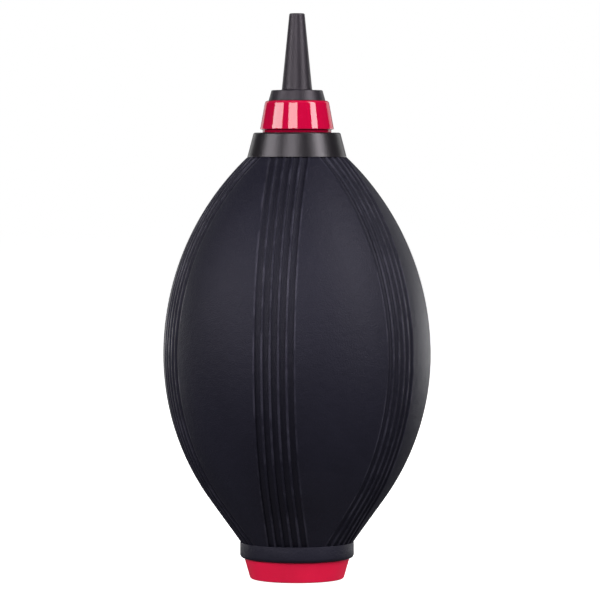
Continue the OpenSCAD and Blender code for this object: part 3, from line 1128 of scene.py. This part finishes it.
@dataclass
class FootAssembly:
    """The plug-in foot with its inlet grille, filter and one-way valve."""

    finishes: FinishSet
    rest_r: float = 11.7 * MM
    top_r: float = 13.19 * MM
    top_z: float = 5.17 * MM
    rim: float = 2.2 * MM
    recess: float = 1.0 * MM
    floor_z: float = 2.6 * MM
    plug_r: float = 10.39 * MM
    plug_top_z: float = 11.3 * MM
    bead: float = 0.48 * MM
    bead_z: float = 9.7 * MM
    plug_bore_r: float = 8.6 * MM
    filter_r: float = 8.0 * MM
    seat_z: float = 6.0 * MM
    hole_r: float = 1.2 * MM
    hole_ring_r: float = 4.6 * MM
    holes: int = 6
    plate_edge: float = 0.2 * MM
    plate_sink: float = 0.06 * MM
    plate_drop: float = 0.02 * MM

    def build(self, tree: bpy.types.NodeTree) -> bpy.types.Object:
        """Builds the foot: a turned body with its drilled floor.

        Args:
            tree: the geometry tree of the port plate.

        Returns:
            The foot.
        """
        material = self.finishes[Slot.FOOT]
        rim_r, bead_top_z = self.rest_r - self.rim, self.bead_z + 2 * self.bead
        foot = turned("foot", (
            Corner(rim_r, 0.0, 0.25 * MM), Corner(self.rest_r, 0.0, 0.5 * MM),
            Corner(self.top_r, self.top_z, 0.15 * MM), Corner(self.plug_r, self.top_z, 0.05 * MM),
            Corner(self.plug_r, self.bead_z),
            Corner(self.plug_r + self.bead, self.bead_z + self.bead, 0.15 * MM),
            Corner(self.plug_r, bead_top_z), Corner(self.plug_r, self.plug_top_z, 0.2 * MM),
            Corner(self.plug_bore_r, self.plug_top_z, 0.1 * MM),
            Corner(self.plug_bore_r, self.seat_z, 0.05 * MM), Corner(self.filter_r, self.seat_z, 0.05 * MM),
            Corner(self.filter_r, self.recess, 0.1 * MM), Corner(rim_r, self.recess, 0.2 * MM),
        ), material)
        plate_z = self.recess + self.plate_sink
        return run_tree(foot, tree, {
            "Radius": self.filter_r + self.plate_edge, "Holes": self.holes, "Hole radius": self.hole_r,
            "Ring radius": self.hole_ring_r, "Foot level": plate_z,
            "Thickness": self.floor_z - self.plate_drop - plate_z, "Material": material})

    def dress(self, foot: bpy.types.Object, frame_nodes: dict) -> None:
        """Finishes the foot and the pieces inside it.

        Args:
            foot: the foot.
            frame_nodes: the CAD nodes by name.
        """
        place(foot, Body.BLOWER, Slot.FOOT, "base_cap")
        for node, slot in (
            ("inlet_filter", Slot.FOAM), ("valve_seat", Slot.VALVE), ("valve_cage", Slot.VALVE),
            ("valve_disc", Slot.SILICONE),
        ):
            coat_node(frame_nodes[node], self.finishes[slot])


@dataclass
class NeckAssembly:
    """The collar that clamps the rubber neck on the threaded socket, with the ring seal."""

    finishes: FinishSet
    foot_r: float = 12.39 * MM
    top_r: float = 10.8 * MM
    foot_z: float = 105.2 * MM
    top_z: float = 111.3 * MM
    plate: float = 1.0 * MM
    neck_r: float = 9.0 * MM
    hole_r: float = 5.36 * MM

    def build(self) -> bpy.types.Object:
        """Builds the collar.

        Returns:
            The collar.
        """
        return turned("collar", (
            Corner(self.neck_r, self.foot_z), Corner(self.foot_r, self.foot_z, 0.12 * MM),
            Corner(self.top_r, self.top_z, 0.55 * MM), Corner(self.hole_r, self.top_z, 0.15 * MM),
            Corner(self.hole_r, self.top_z - self.plate), Corner(self.neck_r, self.top_z - self.plate),
        ), self.finishes[Slot.BLACK])

    def dress(self, collar: bpy.types.Object, frame_nodes: dict) -> None:
        """Finishes the collar, the socket and the seal.

        Args:
            collar: the collar.
            frame_nodes: the CAD nodes by name.
        """
        place(collar, Body.BLOWER, Slot.BLACK, "neck_collar")
        coat_node(frame_nodes["neck_socket"], self.finishes[Slot.BLACK])
        coat_node(frame_nodes["nozzle_seal"], self.finishes[Slot.SEAL])


@dataclass
class NozzleAssembly:
    """The tapered nozzle with its screw thread, and the lock ring pressed on its shank."""

    finishes: FinishSet
    ring_foot_z: float = 111.35 * MM
    skirt_top_z: float = 112.1 * MM
    ring_top_z: float = 119.25 * MM
    skirt_r: float = 8.55 * MM
    ring_r: float = 9.19 * MM
    ring_top_r: float = 7.9 * MM
    shank_r: float = 4.8 * MM
    flange_r: float = 7.09 * MM
    flange_top_r: float = 6.35 * MM
    flange_top_z: float = 121.85 * MM
    root_r: float = 3.8 * MM
    tip_r: float = 1.9 * MM
    tip_z: float = 140.94 * MM
    outlet_r: float = 0.9 * MM
    outlet_foot_z: float = 130.95 * MM
    bore_r: float = 2.2 * MM
    thread_foot_z: float = 104.8 * MM
    thread_r: float = 3.98 * MM
    thread_depth: float = 0.5 * MM
    thread_pitch: float = 1.5 * MM
    thread_turns: float = 3.4
    thread_lead: float = 0.6 * MM

    def build(self, tree: bpy.types.NodeTree) -> tuple[bpy.types.Object, bpy.types.Object]:
        """Builds the nozzle and the lock ring.

        Args:
            tree: the geometry tree of the screw thread.

        Returns:
            The nozzle and the lock ring.
        """
        core_r = self.thread_r - self.thread_depth
        material = self.finishes.matt_black
        nozzle = turned("nozzle", (
            Corner(self.bore_r, self.thread_foot_z), Corner(core_r, self.thread_foot_z, 0.3 * MM),
            Corner(core_r, self.ring_foot_z), Corner(self.shank_r, self.ring_foot_z),
            Corner(self.shank_r, self.ring_top_z), Corner(self.flange_r, self.ring_top_z, 0.12 * MM),
            Corner(self.flange_top_r, self.flange_top_z, 0.3 * MM),
            Corner(self.root_r, self.flange_top_z, 0.35 * MM),
            Corner(self.tip_r, self.tip_z, 0.4 * MM), Corner(self.outlet_r, self.tip_z, 0.2 * MM),
            Corner(self.outlet_r, self.outlet_foot_z), Corner(self.bore_r, self.flange_top_z),
        ), material)
        run_tree(nozzle, tree, {
            "Turns": self.thread_turns, "Pitch": self.thread_pitch, "Crest radius": self.thread_r,
            "Thread height": self.thread_depth, "Foot level": self.thread_foot_z + self.thread_lead,
            "Material": material})
        ring = turned("lock_ring_red", (
            Corner(self.shank_r, self.ring_foot_z), Corner(self.skirt_r, self.ring_foot_z, 0.08 * MM),
            Corner(self.skirt_r, self.skirt_top_z, 0.04 * MM),
            Corner(self.ring_r, self.skirt_top_z, 0.2 * MM),
            Corner(self.ring_top_r, self.ring_top_z, 0.8 * MM),
            Corner(self.shank_r, self.ring_top_z, 0.1 * MM),
        ), self.finishes[Slot.RING])
        # Painted shadow: the skirt under the ring's overhang is marked to be painted dark
        levels = np.array([vertex.co.z for vertex in ring.data.vertices])
        store(ring.data, PAINTED_SHADE_MASK, levels < self.skirt_top_z)
        return nozzle, ring

    def dress(self, nozzle: bpy.types.Object, ring: bpy.types.Object) -> None:
        """Lets both pieces turn together.

        Args:
            nozzle: the nozzle.
            ring: the lock ring.
        """
        place(nozzle, Body.NOZZLE, Slot.BLACK, "nozzle")
        place(ring, Body.NOZZLE, Slot.RING, "lock_ring")


# ------------------------------------------------------------------- the studio


@dataclass(frozen=True)
class Softbox:
    """An area light that faces the object, placed by the direction that it is seen in."""

    name: str
    azimuth: float
    elevation: float
    distance: float
    width: float
    height: float
    radiance: float

    def build(self, target: Vector) -> bpy.types.Object:
        """Builds the light.

        Args:
            target: the point that it faces.

        Returns:
            The light.
        """
        data = bpy.data.lights.new(self.name, "AREA")
        data.shape, data.size, data.size_y = "RECTANGLE", self.width, self.height
        data.energy = self.radiance * math.pi * self.width * self.height
        a, e = math.radians(self.azimuth), math.radians(self.elevation)
        way = Vector((math.sin(a) * math.cos(e), -math.cos(a) * math.cos(e), math.sin(e)))
        obj = bpy.data.objects.new(self.name, data)
        obj.location = target + way * self.distance
        obj.rotation_euler = way.to_track_quat("Z", "Y").to_euler()
        bpy.context.scene.collection.objects.link(obj)
        return obj


@dataclass
class Studio:
    """The pale floor, the soft lights and the camera."""

    floor_size: float = 8.0
    floor_drop: float = 0.2 * MM
    surround: Colour = (0.02, 0.02, 0.022)
    camera_distance: float = 0.885
    camera_height: float = 0.105
    look_at_z: float = 0.0696
    look_at_x: float = 0.00075
    lens: float = 213.0
    target: Vector = field(default_factory=lambda: Vector((0, 0, 0.085)))
    lights: tuple[Softbox, ...] = (
        Softbox("strip_left", -68, 21, 0.9, 0.56, 0.28, 9.5),
        Softbox("strip_middle", -14, 23, 1.1, 0.55, 0.42, 9.5),
        Softbox("strip_right", 60, 32, 0.9, 0.33, 0.8, 11.0),
        Softbox("rim_left", -150, 4, 0.8, 0.3, 0.7, 1.0),
        Softbox("rim_right", 143, 2, 0.8, 0.4, 0.7, 0.95),
        Softbox("low_rim_left", -138, -4, 0.6, 0.4, 0.08, 3.5),
        Softbox("low_rim_right", 138, -4, 0.6, 0.4, 0.08, 4.5),
        Softbox("under_fill", 0, -80, 0.6, 0.5, 0.5, 0.9),
    )

    def build(self) -> None:
        """Builds the floor, the lights, the world and the camera."""
        half = self.floor_size / 2
        corners = [(-half, -half, 0), (half, -half, 0), (half, half, 0), (-half, half, 0)]
        floor = new_object("floor", corners, [(0, 1, 2, 3)], FloorFinish().build())
        floor.location.z = -self.floor_drop
        staged = [floor] + [light.build(self.target) for light in self.lights]
        world = bpy.data.worlds.new("studio")
        bpy.context.scene.world = world
        world.use_nodes = True
        nodes = Nodes(world.node_tree)
        camera_ray = nodes.add("ShaderNodeLightPath").outputs["Is Camera Ray"]
        nodes.fill(world.node_tree.nodes["Background"], {
            "Color": nodes.mix(camera_ray, self.surround, WHITE)})
        self.build_camera()

    def build_camera(self) -> None:
        """Builds the camera and makes it the scene's own."""
        data = bpy.data.cameras.new("camera")
        data.lens, data.sensor_width = self.lens, 36.0
        data.dof.use_dof = False
        data.clip_start, data.clip_end = 0.05, 20.0
        camera = bpy.data.objects.new("camera", data)
        camera.location = (self.look_at_x, -self.camera_distance, self.camera_height)
        way = Vector((self.look_at_x, 0, self.look_at_z)) - camera.location
        camera.rotation_euler = way.to_track_quat("-Z", "Y").to_euler()
        bpy.context.scene.collection.objects.link(camera)
        bpy.context.scene.camera = camera


def main() -> None:
    """Builds every sub-assembly in turn, then the studio."""
    logging.basicConfig(level=logging.INFO, format="%(name)s: %(message)s")
    bpy.context.scene.view_settings.view_transform = "Standard"
    finishes = FinishSet()
    ribs, thread, plate = grip_rib_tree(), screw_thread_tree(), port_plate_tree()
    for half in Half:
        bulb = BulbHalf(half, finishes[Slot.RUBBER])
        bulb.dress(bulb.build(ribs))
    foot = FootAssembly(finishes)
    foot.dress(foot.build(plate), frame["nodes"])
    neck = NeckAssembly(finishes)
    neck.dress(neck.build(), frame["nodes"])
    nozzle = NozzleAssembly(finishes)
    nozzle.dress(*nozzle.build(thread))
    Studio().build()


if __name__ == "__main__":
    main()
